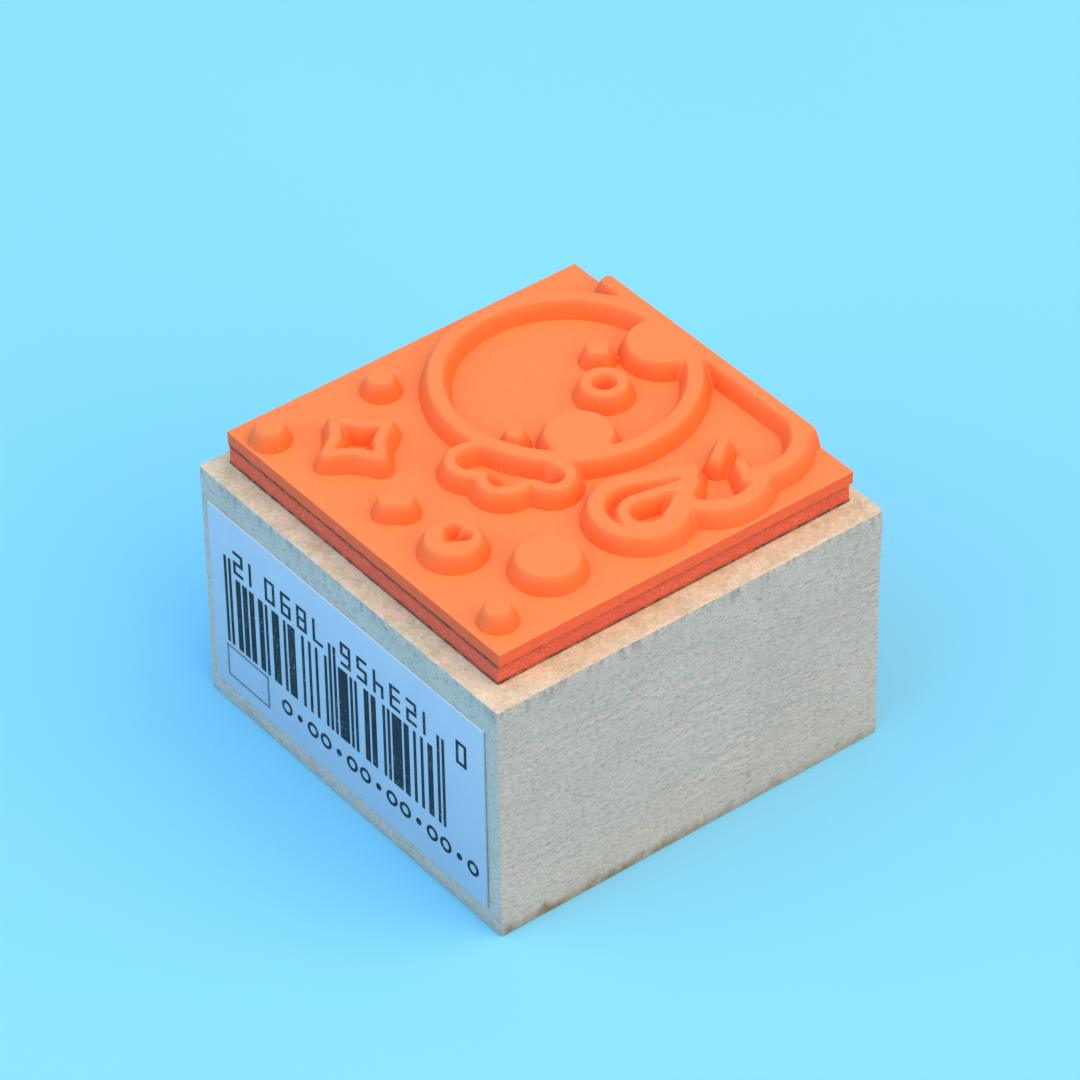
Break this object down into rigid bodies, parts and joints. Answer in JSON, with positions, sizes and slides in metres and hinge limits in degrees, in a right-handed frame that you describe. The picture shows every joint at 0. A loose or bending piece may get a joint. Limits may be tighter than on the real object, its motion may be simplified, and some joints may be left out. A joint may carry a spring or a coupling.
{
  "type": "rubber stamp",
  "caption": "Small square wood-mounted rubber stamp: fibreboard block, foam cushion, moulded rubber die with raised picture, paper label on one side.",
  "frame": {"origin": "centre of the block's square base, the face opposite the rubber", "axes": "+Z from the block's base up through the rubber die, -Y towards the face with the paper label, +X to the right when the label is looked at; the stamp lies with its rubber side up"},
  "size_m": [0.03, 0.0302, 0.0216],
  "materials": {
    "fibreboard": "raw sawn MDF, unvarnished",
    "adhesive_film": "double-sided adhesive film, seen only as a dark line",
    "foam": "closed-cell foam rubber with cut edges, matte",
    "stamp_rubber": "moulded rubber, smooth and satin",
    "label_paper": "smooth white label paper, matte",
    "label_ink": "black thermal print"
  },
  "bodies": {
    "root": {"mdf_block": "fibreboard", "block_adhesive": "adhesive_film", "foam_cushion": "foam", "die_adhesive": "adhesive_film", "rubber_die": "stamp_rubber", "paper_label": "label_paper", "label_print": "label_ink"}
  },
  "joints": []
}
